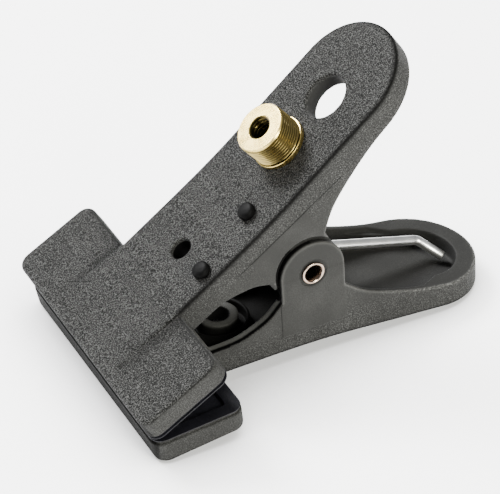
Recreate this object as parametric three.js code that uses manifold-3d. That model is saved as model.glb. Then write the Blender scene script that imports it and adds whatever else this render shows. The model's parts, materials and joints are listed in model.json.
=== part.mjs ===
// Spring clamp with a threaded stud on its upper lever.
// Two T-shaped plastic levers share a tubular rivet, and a torsion spring holds their jaws shut.
//
// Each lever is drawn in a frame of its own: x runs from the jaw towards the handle, y runs across,
// h points out of the clamp, and the pivot is the origin. The upper lever uses that frame as it is,
// and the lower lever is the same frame turned over.
import * as THREE from 'three';
import { mergeVertices } from 'three/addons/utils/BufferGeometryUtils.js';
import Module from 'manifold-3d';

const wasm = await Module();
wasm.setup();

// ---------------------------------------------------------------- driving dimensions, mm and degrees

const pivotX = 1.62;         // jaw pivot, ahead of the middle of the clamp's length
const pivotZ = 29.86;        // jaw pivot above the surface that the clamp lies on
const lowerPitch = 3.0;      // nose-down pitch of the lower lever as it lies
const leverAngle = 31.3;     // angle between the lever frames with the jaws shut

const headFront = -64.1;     // x of the jaw head's front edge
const headBack = -35.5;      // x of the jaw head's rear edge
const headHalfWidth = 44.1;
const headCorner = 4;
const headThickness = 7.6;
const handleEnd = 63;
const armHalfWidth = 19.05;
const wall = 2.15;           // side walls of the channel
const floorThickness = 2.3;  // the channel's outer wall
const rimHalfWidth = 13;     // half width of the cavity inside the handle's broad rim
const gap = 0.3;             // clearance between neighbouring pieces
const low = -15.4;           // a level below everything in a lever's frame
const high = 40;             // a level above everything in a lever's frame

const earRadius = 10.4;      // round end of each ear, about the pivot
const earPocketRise = 2.7;   // how far the pocket in the upper wall stands above the pivot
const pivotHole = 3.05;
const rivetBore = 2.3;
const rivetHead = 3.7;
const rivetHeadProud = 0.45;
const rivetClearance = 0.2;  // between the rivet's tube and the pivot hole
const counterbore = { radius: 4.4, depth: 0.5 };
const sleeveRadius = 5.2;

const wire = 3;              // spring wire diameter
const coilRadius = 7;        // to the middle of the wire
const legOffset = 5.6;       // each leg's distance from the middle plane
const coilTurns = 3;         // whole turns between the legs
const legBend = { x: 48.5, h: 22.5 };
const legTip = { x: 54, h: 28.2, y: 0.8 };

const smallHole = { x: -23.1, radius: 3.45, bossRadius: 6.3, depth: 6.75 };
const hangHole = { x: 37.2, radius: 7.03, bossRadius: 9.2, depth: 6 };
const bossRoot = 0.5;        // each boss starts this far under the outer face
const drill = { below: 12, above: 3 }; // reach of a hole's cutter about the outer face
const well = { radius: 8.7, wall: 1.1, h: 19.7, root: 24 }; // round well about the small hole's boss

const stud = { x: 18.6, radius: 7.94, height: 10.7, chamfer: 0.4, shank: 4, shankLength: 10.6 };
const studCollar = { radius: 8.35, height: 1.9 };
const studBore = { radius: 3.1, bottom: 1.5, tip: 0.5 };
const washer = { radius: 8.5, thickness: 1.2 };
const nut = { acrossFlats: 13, thickness: 5 };

const peg = { radius: 2.7, height: 2.5, shoulder: 1.125, stem: 1.8 };
const pegPlaces = { peg_front: [-22.5, -13.8], peg_rear: [-1.7, -9.6] };

const padThickness = 0.6;    // the pad's plate, on the head's face
const padPlug = { inset: 3, depth: 2 };
const padRecess = { inset: 4.3, depth: 1.2 };
const padCorner = 1;         // corner radius of the plug and of the recess

// Outer face of the arm, jaw end to handle end, and the free edges of its side walls.
const outerPoints = [[headBack, 25.1], [0, 26.2], [30, 29.4], [handleEnd, 33.2]];
const rearRimPoints = [[handleEnd, 24.9], [45, 22.6], [33, 19.9], [18.5, 14.3], [earRadius, 8.3]];
const frontRimPoints = [[-earRadius, 7.2], [-14.5, 11.2], [-18, 13.2], [-23.5, 15.3], [-28, 15.9]];
const headDrop = 1.4;        // the head's outer face falls this much from front to rear
const armStart = headBack - 0.55; // the arm runs this far into the head

// ---------------------------------------------------------------- small helpers

const radians = THREE.MathUtils.degToRad;

const outerCurve = new THREE.SplineCurve(outerPoints.map(([x, h]) => new THREE.Vector2(x, h)));

// Height and slope of the arm's outer face at a given x.
function outerFace(x) {
  const points = outerCurve.getPoints(200);
  const i = points.findIndex((p) => p.x >= x);
  const [a, b] = [points[i - 1], points[i]];
  const slope = (b.y - a.y) / (b.x - a.x);
  return { h: a.y + slope * (x - a.x), angle: Math.atan(slope) };
}

function toSolid(geometry) {
  const bare = geometry.index ? geometry.clone() : geometry;
  bare.deleteAttribute('normal');
  bare.deleteAttribute('uv');
  const merged = mergeVertices(bare, 1e-5);
  return new wasm.Manifold(new wasm.Mesh({
    numProp: 3,
    vertProperties: new Float32Array(merged.attributes.position.array),
    triVerts: new Uint32Array(merged.index.array),
  }));
}

function toGeometry(solid) {
  const { vertProperties, triVerts } = solid.getMesh();
  const geometry = new THREE.BufferGeometry();
  geometry.setAttribute('position', new THREE.BufferAttribute(vertProperties, 3));
  geometry.setIndex(new THREE.BufferAttribute(triVerts, 1));
  geometry.computeVertexNormals();
  return geometry;
}

// A shape drawn in (x, h), swept across the clamp from y0 to y1.
function sideSolid(shape, y0, y1, curveSegments = 20) {
  const geometry = new THREE.ExtrudeGeometry(shape, { depth: y1 - y0, bevelEnabled: false, curveSegments });
  geometry.rotateX(Math.PI / 2);
  geometry.translate(0, y1, 0);
  return toSolid(geometry);
}

// A shape drawn in (x, y), raised from h0 to h1.
function planGeometry(shape, h0, h1, curveSegments = 12) {
  const geometry = new THREE.ExtrudeGeometry(shape, { depth: h1 - h0, bevelEnabled: false, curveSegments });
  geometry.translate(0, 0, h0);
  return geometry;
}

const planSolid = (shape, h0, h1, curveSegments) => toSolid(planGeometry(shape, h0, h1, curveSegments));

// A turned piece whose axis is y: its profile lists [radius, distance along the axis].
function turned(profile, segments = 32) {
  return new THREE.LatheGeometry(profile.map(([r, t]) => new THREE.Vector2(r, t)), segments);
}

// A turned piece whose axis is h.
const turnedUp = (profile, segments) => turned(profile, segments).rotateX(Math.PI / 2);

const ring = (inner, outer, t0, t1) => [[inner, t0], [outer, t0], [outer, t1], [inner, t1], [inner, t0]];

const rod = (radius, t0, t1) => [[0, t0], [radius, t0], [radius, t1], [0, t1]];

function cylinderAcross(radius, y0, y1, segments = 40) {
  return toSolid(turned(rod(radius, y0, y1), segments));
}

function roundedRectangle(x0, x1, halfWidth, corner) {
  const shape = new THREE.Shape();
  shape.moveTo(x0 + corner, -halfWidth);
  shape.lineTo(x1 - corner, -halfWidth);
  shape.absarc(x1 - corner, -halfWidth + corner, corner, -Math.PI / 2, 0);
  shape.lineTo(x1, halfWidth - corner);
  shape.absarc(x1 - corner, halfWidth - corner, corner, 0, Math.PI / 2);
  shape.lineTo(x0 + corner, halfWidth);
  shape.absarc(x0 + corner, halfWidth - corner, corner, Math.PI / 2, Math.PI);
  shape.lineTo(x0, -halfWidth + corner);
  shape.absarc(x0 + corner, -halfWidth + corner, corner, Math.PI, 1.5 * Math.PI);
  return shape;
}

// Places a solid that was made about the h axis on the outer face at x, y, square to the face.
function placeOnFace(solid, x, y) {
  const { h, angle } = outerFace(x);
  return solid.rotate([0, THREE.MathUtils.radToDeg(-angle), 0]).translate([x, y, h]);
}

// ---------------------------------------------------------------- levers

// Side view of an arm with its ears: outer face, handle rim, round ear, front window edge.
function armSide() {
  const shape = new THREE.Shape();
  shape.moveTo(armStart, outerPoints[0][1]);
  shape.lineTo(...outerPoints[0]);
  shape.splineThru(outerPoints.slice(1).map(([x, h]) => new THREE.Vector2(x, h)));
  shape.lineTo(...rearRimPoints[0]);
  shape.splineThru(rearRimPoints.slice(1).map(([x, h]) => new THREE.Vector2(x, h)));
  shape.lineTo(earRadius, 0);
  shape.absarc(0, 0, earRadius, 0, -Math.PI, true);
  shape.lineTo(...frontRimPoints[0]);
  shape.splineThru(frontRimPoints.slice(1).map(([x, h]) => new THREE.Vector2(x, h)));
  shape.lineTo(armStart, frontRimPoints.at(-1)[1]);
  return shape;
}

// The space under the outer face, down past the ears.
function cavitySide() {
  const inner = outerCurve.getPoints(24).map((p) => new THREE.Vector2(p.x, p.y - floorThickness));
  return new THREE.Shape([
    new THREE.Vector2(handleEnd + 1, low),
    new THREE.Vector2(handleEnd + 1, inner.at(-1).y),
    ...inner.reverse(),
    new THREE.Vector2(headBack, low),
  ]);
}

function armPlan() {
  const shape = new THREE.Shape();
  const centre = handleEnd - armHalfWidth;
  shape.moveTo(armStart, -armHalfWidth);
  shape.lineTo(centre, -armHalfWidth);
  shape.absarc(centre, 0, armHalfWidth, -Math.PI / 2, Math.PI / 2);
  shape.lineTo(armStart, armHalfWidth);
  return shape;
}

// Plan of the cavity. Inner ears narrow it beside the pivot, and the handle's broad rim at its end.
function cavityPlan(innerEars) {
  const centre = handleEnd - armHalfWidth;
  const half = armHalfWidth - wall;
  const between = half - gap - wall;
  const side = [[headBack + wall, half]];
  if (innerEars) {
    side.push([-earRadius, half], [-earRadius, between], [earRadius, between], [earRadius, half]);
  }
  side.push([centre - 8, half], [centre, rimHalfWidth]);
  const shape = new THREE.Shape();
  shape.moveTo(side[0][0], -side[0][1]);
  side.slice(1).forEach(([x, y]) => shape.lineTo(x, -y));
  shape.absarc(centre, 0, rimHalfWidth, -Math.PI / 2, Math.PI / 2);
  side.reverse().forEach(([x, y]) => shape.lineTo(x, y));
  return shape;
}

// The pocket in the upper wall that the lower lever's ear lies in.
function earPocket() {
  const shape = new THREE.Shape();
  const half = earRadius + gap;
  shape.moveTo(-half, low);
  shape.lineTo(half, low);
  shape.lineTo(half, earPocketRise);
  shape.absarc(0, earPocketRise, half, 0, Math.PI);
  return shape;
}

// The head's own frame: x back along its outer face from the front edge, h out of that face.
function onHead(geometry) {
  geometry.rotateY(Math.atan2(headDrop, headBack - headFront));
  geometry.translate(headFront, 0, outerPoints[0][1] + headDrop);
  return geometry;
}

const headLength = Math.hypot(headBack - headFront, headDrop);

function headOutline(inset, corner) {
  return roundedRectangle(inset, headLength - inset, headHalfWidth - inset, corner);
}

function head() {
  const block = planGeometry(headOutline(0, headCorner), -headThickness, 0, 6);
  const pocket = planGeometry(headOutline(padPlug.inset - gap, padCorner), -headThickness - 1,
    -headThickness + padPlug.depth + gap, 4);
  return toSolid(onHead(block)).subtract(toSolid(onHead(pocket)));
}

// Ahead of the small hole the hollow is filled up to a level, apart from a round well about the
// hole's boss. The well's wall goes on round behind the boss.
function frontWell() {
  const half = armHalfWidth - wall / 2;
  const filled = new THREE.Shape([[headBack, -half], [smallHole.x, -half], [smallHole.x, half], [headBack, half]]
    .map(([x, y]) => new THREE.Vector2(x, y)));
  const cylinder = (radius, h0, h1) => toSolid(turnedUp(rod(radius, h0, h1), 40).translate(smallHole.x, 0, 0));
  return planSolid(filled, well.h, well.root)
    .add(cylinder(well.radius + well.wall, well.h, well.root))
    .subtract(cylinder(well.radius, well.h - 1, well.root + 1));
}

function lever({ innerEars, holes }) {
  let solid = sideSolid(armSide(), -armHalfWidth - 1, armHalfWidth + 1)
    .intersect(planSolid(armPlan(), low, high, 16))
    .subtract(sideSolid(cavitySide(), -armHalfWidth - 1, armHalfWidth + 1)
      .intersect(planSolid(cavityPlan(innerEars), low, high, 16)))
    .add(frontWell());
  const pocketFloor = armHalfWidth - wall - gap;
  for (const [y0, y1] of [[-armHalfWidth - 1, -pocketFloor], [pocketFloor, armHalfWidth + 1]]) {
    if (innerEars) {
      solid = solid.subtract(sideSolid(earPocket(), y0, y1, 16));
    } else {
      const seat = armHalfWidth - counterbore.depth;
      const [from, to] = y0 < 0 ? [y0, -seat] : [seat, y1];
      solid = solid.subtract(cylinderAcross(counterbore.radius, from, to, 24));
    }
  }
  solid = solid.subtract(cylinderAcross(pivotHole, -armHalfWidth - 1, armHalfWidth + 1, 24)).add(head());
  for (const { x, y = 0, radius, bossRadius, depth } of holes) {
    if (bossRadius) {
      solid = solid.add(placeOnFace(toSolid(turnedUp(rod(bossRadius, -depth, -bossRoot), 32)), x, y));
    }
    solid = solid.subtract(placeOnFace(toSolid(turnedUp(rod(radius, -drill.below, drill.above), 24)), x, y));
  }
  return toGeometry(solid);
}

// ---------------------------------------------------------------- other pieces

function jawPad() {
  const top = -headThickness - gap / 2;
  const plate = planGeometry(headOutline(gap, headCorner - gap), top - padThickness, top, 6);
  const plug = planGeometry(headOutline(padPlug.inset, padCorner), top - 0.1, -headThickness + padPlug.depth, 4);
  const recess = planGeometry(headOutline(padRecess.inset, padCorner), top - padThickness - 1,
    top - padThickness + padRecess.depth, 4);
  return toGeometry(toSolid(onHead(plate)).add(toSolid(onHead(plug))).subtract(toSolid(onHead(recess))));
}

// The angle of one spring leg in the clamp's side view, from the coil to the leg's bend.
function legDirection(pitch, up) {
  const reach = Math.hypot(legBend.x, legBend.h);
  const own = Math.atan2(legBend.h, legBend.x) - Math.asin(coilRadius / reach);
  return pitch + (up ? own : -own);
}

// One wire: tip, bend and leg in the lower lever, coil, then leg, bend and tip in the upper lever.
function springPath() {
  const pitches = { lower: radians(lowerPitch), upper: radians(lowerPitch + leverAngle) };
  const inLever = (pitch, side, x, h) => [
    x * Math.cos(pitch) - side * h * Math.sin(pitch),
    x * Math.sin(pitch) + side * h * Math.cos(pitch),
  ];
  const leg = (pitch, side) => {
    const [bx, bz] = inLever(pitch, side, legBend.x, legBend.h);
    const [tx, tz] = inLever(pitch, side, legTip.x, legTip.h);
    return [new THREE.Vector3(tx, side * legTip.y, tz), new THREE.Vector3(bx, -side * legOffset, bz)];
  };
  const start = legDirection(pitches.lower, false) - Math.PI / 2;
  const end = legDirection(pitches.upper, true) + Math.PI / 2 - 2 * Math.PI * (coilTurns + 1);
  const onCoil = (t) => {
    const angle = THREE.MathUtils.lerp(start, end, t);
    const y = THREE.MathUtils.lerp(legOffset, -legOffset, t);
    return new THREE.Vector3(coilRadius * Math.cos(angle), y, coilRadius * Math.sin(angle));
  };
  const between = (a, b, steps) => Array.from({ length: steps }, (_, i) => a.clone().lerp(b, i / steps));
  const [lowerTip, lowerBend] = leg(pitches.lower, -1);
  const [upperTip, upperBend] = leg(pitches.upper, 1);
  const coilSteps = 52;
  const coil = Array.from({ length: coilSteps + 1 }, (_, i) => onCoil(i / coilSteps));
  return new THREE.CatmullRomCurve3([
    ...between(lowerTip, lowerBend, 3),
    ...between(lowerBend, coil[0], 12),
    ...coil,
    ...between(upperBend, coil.at(-1), 12).reverse(),
    ...between(upperTip, upperBend, 3).reverse(),
  ], false, 'centripetal');
}

function spring() {
  const section = new THREE.Shape();
  section.absarc(0, 0, wire / 2, 0, 2 * Math.PI);
  return new THREE.ExtrudeGeometry(section, { extrudePath: springPath(), steps: 150, curveSegments: 5 });
}

function rivet() {
  const seat = armHalfWidth - counterbore.depth + gap / 2;
  const end = armHalfWidth + rivetHeadProud;
  const tube = pivotHole - rivetClearance;
  return turned([
    [rivetBore, -end], [rivetHead, -end], [rivetHead, -seat], [tube, -seat],
    [tube, seat], [rivetHead, seat], [rivetHead, end], [rivetBore, end], [rivetBore, -end],
  ], 32);
}

function threadedStud() {
  const { radius, height, chamfer, shank, shankLength } = stud;
  return turnedUp([
    [0, -shankLength], [shank, -shankLength], [shank, gap], [studCollar.radius, gap],
    [studCollar.radius, studCollar.height], [radius, studCollar.height], [radius, height - chamfer],
    [radius - chamfer, height], [studBore.radius, height], [studBore.radius, studBore.bottom], [0, studBore.tip],
  ], 40);
}

function studNut(top) {
  const shape = new THREE.Shape();
  const corner = nut.acrossFlats / Math.sqrt(3);
  for (let i = 0; i < 6; i += 1) {
    const angle = (i * Math.PI) / 3;
    const point = [corner * Math.cos(angle), corner * Math.sin(angle)];
    if (i === 0) shape.moveTo(...point);
    else shape.lineTo(...point);
  }
  const hole = new THREE.Path();
  hole.absarc(0, 0, stud.shank + gap, 0, 2 * Math.PI);
  shape.holes.push(hole);
  return planGeometry(shape, top - nut.thickness, top, 12);
}

function domedPeg() {
  const { radius, height, shoulder, stem } = peg;
  const dome = [0.25, 0.5, 0.75].map((t) => [
    radius * Math.cos((t * Math.PI) / 2),
    shoulder + (height - shoulder) * Math.sin((t * Math.PI) / 2),
  ]);
  return turnedUp([[0, -floorThickness], [stem, -floorThickness], [stem, gap],
    [radius, gap], [radius, shoulder], ...dome, [0, height]], 24);
}

// ---------------------------------------------------------------- assembly

const finishes = {
  nylon: { color: 0x3c3c3e, roughness: 0.75, metalness: 0 },
  rubber: { color: 0x15161c, roughness: 0.9, metalness: 0 },
  plug: { color: 0x1c1c1e, roughness: 0.5, metalness: 0 },
  steel: { color: 0xd8d8d8, roughness: 0.2, metalness: 1 },
  brass: { color: 0xc8a452, roughness: 0.3, metalness: 1 },
};

function piece(name, geometry, finish) {
  const mesh = new THREE.Mesh(geometry, new THREE.MeshStandardMaterial(finishes[finish]));
  mesh.name = name;
  return mesh;
}

// A group whose origin is on the outer face at x, y, with h square to the face.
function faceGroup(x, y, ...pieces) {
  const { h, angle } = outerFace(x);
  const group = new THREE.Group();
  group.position.set(x, y, h);
  group.rotation.y = -angle;
  group.add(...pieces);
  return group;
}

const clamp = new THREE.Group();
clamp.position.set(pivotX, 0, pivotZ);

const lowerFrame = new THREE.Group();
lowerFrame.rotation.set(Math.PI, radians(lowerPitch), 0);
lowerFrame.add(
  piece('lower_lever', lever({ innerEars: false, holes: [smallHole] }), 'nylon'),
  piece('lower_jaw_pad', jawPad(), 'rubber'),
);

const upperFrame = new THREE.Group();
upperFrame.rotation.y = -radians(lowerPitch + leverAngle);
const pegHoles = Object.values(pegPlaces).map(([x, y]) => ({ x, y, radius: peg.stem + gap }));
const studHole = { x: stud.x, radius: stud.shank + gap };
const washerTop = -floorThickness - gap;
const nutTop = washerTop - washer.thickness - gap / 2;
upperFrame.add(
  piece('upper_lever', lever({ innerEars: true, holes: [smallHole, hangHole, studHole, ...pegHoles] }), 'nylon'),
  piece('upper_jaw_pad', jawPad(), 'rubber'),
  faceGroup(stud.x, 0,
    piece('threaded_stud', threadedStud(), 'brass'),
    piece('stud_washer', turnedUp(ring(stud.shank + gap, washer.radius, washerTop - washer.thickness,
      washerTop)), 'steel'),
    piece('stud_nut', studNut(nutTop), 'steel')),
  ...Object.entries(pegPlaces).map(([name, [x, y]]) => faceGroup(x, y, piece(name, domedPeg(), 'plug'))),
);

const sleeveHalf = armHalfWidth - 2 * (wall + gap) + gap / 2;
clamp.add(
  lowerFrame,
  upperFrame,
  piece('torsion_spring', spring(), 'steel'),
  piece('spring_sleeve', turned(ring(pivotHole + 0.15, sleeveRadius, -sleeveHalf + gap, sleeveHalf - gap)), 'steel'),
  piece('pivot_rivet', rivet(), 'steel'),
);

const part = new THREE.Group();
part.add(clamp);

export default part;
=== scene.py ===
"""Looks of the spring clamp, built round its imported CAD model.

The two plastic levers are made as distance fields, so that every edge and inner corner has the
radius of a moulded part. The pads, the spring, the rivet and the brass stud are lofted and turned meshes.

Shapes are drawn in millimetres in each lever's own frame, as in the CAD: x runs from the jaw to the
handle, y across, h out of the clamp, and the origin is the pivot.
"""

import json
import math

import bmesh
import bpy
import numpy as np
import openvdb
from mathutils import Matrix, Vector


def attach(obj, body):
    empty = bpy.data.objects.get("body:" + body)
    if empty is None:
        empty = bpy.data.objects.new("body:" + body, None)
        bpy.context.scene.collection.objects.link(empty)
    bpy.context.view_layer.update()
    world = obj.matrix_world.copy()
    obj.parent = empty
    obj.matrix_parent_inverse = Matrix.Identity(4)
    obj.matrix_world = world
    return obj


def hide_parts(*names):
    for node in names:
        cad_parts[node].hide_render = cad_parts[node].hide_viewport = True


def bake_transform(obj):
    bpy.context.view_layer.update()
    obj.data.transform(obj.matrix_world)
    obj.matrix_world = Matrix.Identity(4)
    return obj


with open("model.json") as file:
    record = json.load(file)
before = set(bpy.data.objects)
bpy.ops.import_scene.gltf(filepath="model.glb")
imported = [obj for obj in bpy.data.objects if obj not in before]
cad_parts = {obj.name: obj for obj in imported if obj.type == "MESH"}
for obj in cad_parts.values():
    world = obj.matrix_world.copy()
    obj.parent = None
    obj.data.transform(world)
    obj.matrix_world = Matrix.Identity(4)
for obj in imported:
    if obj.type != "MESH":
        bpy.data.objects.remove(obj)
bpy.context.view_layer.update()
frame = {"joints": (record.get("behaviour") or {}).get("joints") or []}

# ------------------------------------------------------------------ sizes, mm and degrees

MM = 0.001
PIVOT = Vector(frame["joints"][0]["pos_m"])
LOWER_PITCH = 3.0
UPPER_PITCH = LOWER_PITCH + 31.3
STEP = 0.36      # grid step of the levers' distance fields
KEEP = 0.5                              # share of the grid's faces that the levers keep

HEAD_FRONT, HEAD_BACK, HEAD_HALF = -64.1, -35.5, 44.1
HEAD_TOP, HEAD_DROP, HEAD_THICK = 26.5, 1.4, 7.6
HEAD_CORNER, HEAD_EDGE = 4.0, 1.1
HEAD_TILT = math.atan2(HEAD_DROP, HEAD_BACK - HEAD_FRONT)
HEAD_LENGTH = math.hypot(HEAD_DROP, HEAD_BACK - HEAD_FRONT)
FRONT_DRAFT = 0.8                       # the front face leans back this much, inner to outer edge
SHOULDER_DROP = 0.9                     # the head's side plates lie this much below the arm at its back
HANDLE_END, ARM_HALF = 63.0, 19.05
HANDLE_CENTRE = HANDLE_END - ARM_HALF
ARM_START = HEAD_BACK - 0.55
WALL, FLOOR = 2.15, 2.3
RIM_HALF = 13.0                         # half width of the hollow inside the handle's broad rim
LEDGE = {"start": 28.6, "end": 37.5, "below": 1.6}   # a lower ledge inside the rim, before the broad rim
OUTER_EDGE, RIM_EDGE = 1.3, 0.45
REBATE = {"in": 0.8, "high": 0.6}       # shadow gap round the head's inner face, over its rubber pad
FRONT_RIB = {"thick": 1.5, "high": 2.5}              # thickening inside the walls under the front rim
TONGUE = {"x": -10.95, "half": 0.5, "low": 4.9}      # the upper lever's wall ends in a tongue at the ear
PATCH = {"x": -0.3, "half": 10.7, "top": 19.9, "rise": 0.03, "proud": 0.14}   # smooth area round the ear
GAP = 0.3
SINK = 0.5                              # how far a joined piece of the field runs into its neighbour

EAR, EAR_POCKET_RISE = 10.4, 2.7
BELOW_EAR, ABOVE_ARM = -12.4, 26        # heights of the boxes round the ears
PIVOT_HOLE = 3.05
COUNTERBORE = {"radius": 4.4, "depth": 0.5}
PAD_PLUG = {"inset": 3.0, "depth": 2.0, "corner": 1.0}   # the part of a pad that fills the head's recess
SMALL_HOLE = {"x": -23.1, "radius": 3.45, "boss": 6.3, "depth": 6.75}
HANG_HOLE = {"x": 37.2, "radius": 7.03, "boss": 9.2, "depth": 6.0}
WELL = {"inner": 8.7, "outer": 9.8, "top": 19.7}     # low round wall about the small hole's boss
STUD_HOLE, PEG_HOLE = 4.3, 2.1
STUD_X = 18.6
PEG_PLACES = {"peg_front": (-22.5, -13.8), "peg_rear": (-1.7, -9.6)}

OUTER_POINTS = [(HEAD_BACK, 25.1), (0, 26.2), (30, 29.4), (HANDLE_END, 33.2)]
REAR_RIM = [(HANDLE_END, 24.9), (45, 22.6), (33, 19.9), (18.5, 14.3), (EAR, 8.3)]
FRONT_RIM = [(-EAR, 7.2), (-14.5, 11.2), (-18, 13.2), (-23.5, 15.3), (-28, 15.9)]


# ------------------------------------------------------------------ curves and frames

def catmull(points, per_span=16):
    """A smooth curve through the points, with a uniform Catmull-Rom spline."""
    p = np.array(points, float)
    p = np.vstack([p[:1], p, p[-1:]])
    t = np.linspace(0, 1, per_span, endpoint=False)[:, None]
    spans = []
    for a, b, c, d in zip(p, p[1:], p[2:], p[3:]):
        spans.append(0.5 * (2 * b + (c - a) * t + (2 * a - 5 * b + 4 * c - d) * t ** 2
                            + (3 * b - a - 3 * c + d) * t ** 3))
    return np.vstack([*spans, p[-1:]])


OUTER = catmull(OUTER_POINTS)


def outer_height(x):
    return np.interp(x, OUTER[:, 0], OUTER[:, 1])


def lever_matrix(upper):
    """Row frame from a lever's own frame, both in metres."""
    if upper:
        return Matrix.Translation(PIVOT) @ Matrix.Rotation(-math.radians(UPPER_PITCH), 4, "Y")
    turned_over = Matrix.Rotation(math.pi, 4, "X")
    return Matrix.Translation(PIVOT) @ Matrix.Rotation(-math.radians(LOWER_PITCH), 4, "Y") @ turned_over


def face_slope(x):
    return math.atan(outer_height(x + 0.5) - outer_height(x - 0.5))


def face_matrix(x, y):
    """Upper lever's frame from a frame on its outer face, whose h stands square to the face."""
    place = Matrix.Translation(Vector((x, y, float(outer_height(x)))) * MM)
    return lever_matrix(True) @ place @ Matrix.Rotation(-face_slope(x), 4, "Y")


# ------------------------------------------------------------------ distance fields

def meet(a, b, r=0.0):
    """Where two solids overlap, with its edge rounded to r."""
    sharp = np.maximum(a, b)
    if r == 0:
        return sharp
    return np.minimum(sharp, -r) + np.hypot(np.maximum(a + r, 0), np.maximum(b + r, 0))


def join(a, b, r=0.0):
    """Two solids joined, with the inner corner between them rounded to r."""
    return -meet(-a, -b, r)


def cut(a, b, r=0.0):
    """The first solid without the second, with the new edge rounded to r."""
    return meet(a, -b, r)


def polygon_field(u, v, points):
    """Distance to a closed outline, negative inside."""
    points = np.array(points, float)
    best = np.full(np.broadcast(u, v).shape, 1e9)
    inside = np.zeros(best.shape, bool)
    for (ax, ay), (bx, by) in zip(points, np.roll(points, -1, 0)):
        dx, dy = bx - ax, by - ay
        if dx == dy == 0:
            continue
        t = np.clip(((u - ax) * dx + (v - ay) * dy) / (dx * dx + dy * dy), 0, 1)
        best = np.minimum(best, (u - ax - t * dx) ** 2 + (v - ay - t * dy) ** 2)
        if dy:
            inside ^= ((ay > v) != (by > v)) & (u < (v - ay) / dy * dx + ax)
    return np.where(inside, -1, 1) * np.sqrt(best)


def rounded_box_field(u, v, half_u, half_v, corner):
    """Distance to a rectangle with round corners about the origin, negative inside."""
    du, dv = np.abs(u) - half_u + corner, np.abs(v) - half_v + corner
    return np.minimum(np.maximum(du, dv), 0) + np.hypot(np.maximum(du, 0), np.maximum(dv, 0)) - corner


def side_outline():
    """Side view of the arm below its outer face: rim, round ear, front edge."""
    ear = [(EAR * math.cos(a), EAR * math.sin(a)) for a in np.linspace(0, -math.pi, 40)]
    end_slope = (REAR_RIM[0][1] - REAR_RIM[1][1]) / (REAR_RIM[0][0] - REAR_RIM[1][0])
    far = 90
    return [(far, 60), (far, REAR_RIM[0][1] + end_slope * (far - HANDLE_END)), *catmull(REAR_RIM),
            *ear, *catmull(FRONT_RIM), (-80, FRONT_RIM[-1][1]), (-80, 60)]


def arm_plan(x, y, half, end_half):
    """Plan of the arm or of its hollow, with a round end about HANDLE_CENTRE."""
    straight = np.abs(y) - half
    round_end = np.hypot(x - HANDLE_CENTRE, y) - end_half
    return np.where(x < HANDLE_CENTRE, straight, round_end)


def hollow_plan(x, y, narrowing):
    """Plan of the hollow, whose half width falls to RIM_HALF between the two x of narrowing."""
    half = np.interp(x, narrowing, [ARM_HALF - WALL, RIM_HALF])
    return np.maximum(arm_plan(x, y, half, RIM_HALF), HEAD_BACK + WALL - x)


def smooth_step(t):
    """0 below 0 and 1 above 1, with a smooth rise between them."""
    t = np.clip(t, 0, 1)
    return t * t * (3 - 2 * t)


def bell(distance, width):
    """1 at a distance of 0, falling smoothly to nothing within about twice the width."""
    return np.exp(-(distance / width) ** 2)


class Grid:
    """A lever's sample points, and the boxes of them that local features change."""

    def __init__(self, low, high, step):
        self.low, self.step = np.array(low, float), step
        counts = np.ceil((np.array(high) - low) / step).astype(int) + 1
        self.axes = [(l + step * np.arange(n)).astype(np.float32) for l, n in zip(low, counts)]

    def part(self, low, high):
        """Slices and sample points of a box."""
        slices = tuple(slice(*np.searchsorted(a, (l, h))) for a, l, h in zip(self.axes, low, high))
        x, y, h = (a[s] for a, s in zip(self.axes, slices))
        return slices, x[:, None, None], y[None, :, None], h[None, None, :]


def around(x, y, h, at_x, at_y):
    """Distance from an axis square to the outer face, and height above that face."""
    slope, top = face_slope(at_x), float(outer_height(at_x))
    along = (x - at_x) * math.cos(slope) + (h - top) * math.sin(slope)
    above = (h - top) * math.cos(slope) - (x - at_x) * math.sin(slope)
    return np.hypot(along, y - at_y), above


def side_patch(x, h):
    """Outline of the smooth patch on each side of a lever, round its ear. Negative inside."""
    return np.maximum(np.abs(x - PATCH["x"]) - PATCH["half"], h - PATCH["top"] - PATCH["rise"] * x)


def lever_field(grid, upper):
    """One whole lever: a hollow arm, its ears and pivot hole, front rib, head and holes."""
    low, high = [a[0] for a in grid.axes], [a[-1] + 1 for a in grid.axes]
    _, x, y, h = grid.part(low, high)
    top = h - outer_height(x)
    rim = polygon_field(x, h, side_outline()).astype(np.float32)
    plan = arm_plan(x, y, ARM_HALF, ARM_HALF)
    plan = plan - PATCH["proud"] * smooth_step(0.5 - np.maximum(side_patch(x, h), -h) / 0.5)
    body = meet(meet(plan, top, OUTER_EDGE), rim, RIM_EDGE)
    deep = meet(hollow_plan(x, y, (LEDGE["start"], HANDLE_CENTRE)), top + FLOOR, 1.2)
    shallow = meet(hollow_plan(x, y, (LEDGE["end"], HANDLE_CENTRE)), -(rim + LEDGE["below"]), 0.3)
    body = cut(body, join(deep, shallow), RIM_EDGE)

    if upper:
        add_inner_ears(body, grid)
    else:
        cut_counterbores(body, grid)
    s, near_x, _, near_h = grid.part((-5, -ARM_HALF - 2, -5), (5, ARM_HALF + 2, 5))
    body[s] = cut(body[s], np.hypot(near_x, near_h) - PIVOT_HOLE, 0.2)
    add_front_rib(body, grid)
    body = np.maximum(body, ARM_START - x)
    add_head(body, grid)
    add_front_well(body, grid)

    holes = [{**SMALL_HOLE, "draft": 0.1 if upper else 0.0}]
    if upper:
        holes += [HANG_HOLE, {"x": STUD_X, "radius": STUD_HOLE}]
        holes += [{"x": px, "y": py, "radius": PEG_HOLE} for px, py in PEG_PLACES.values()]
    for hole in holes:
        drill(body, grid, **hole)
    return body


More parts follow.
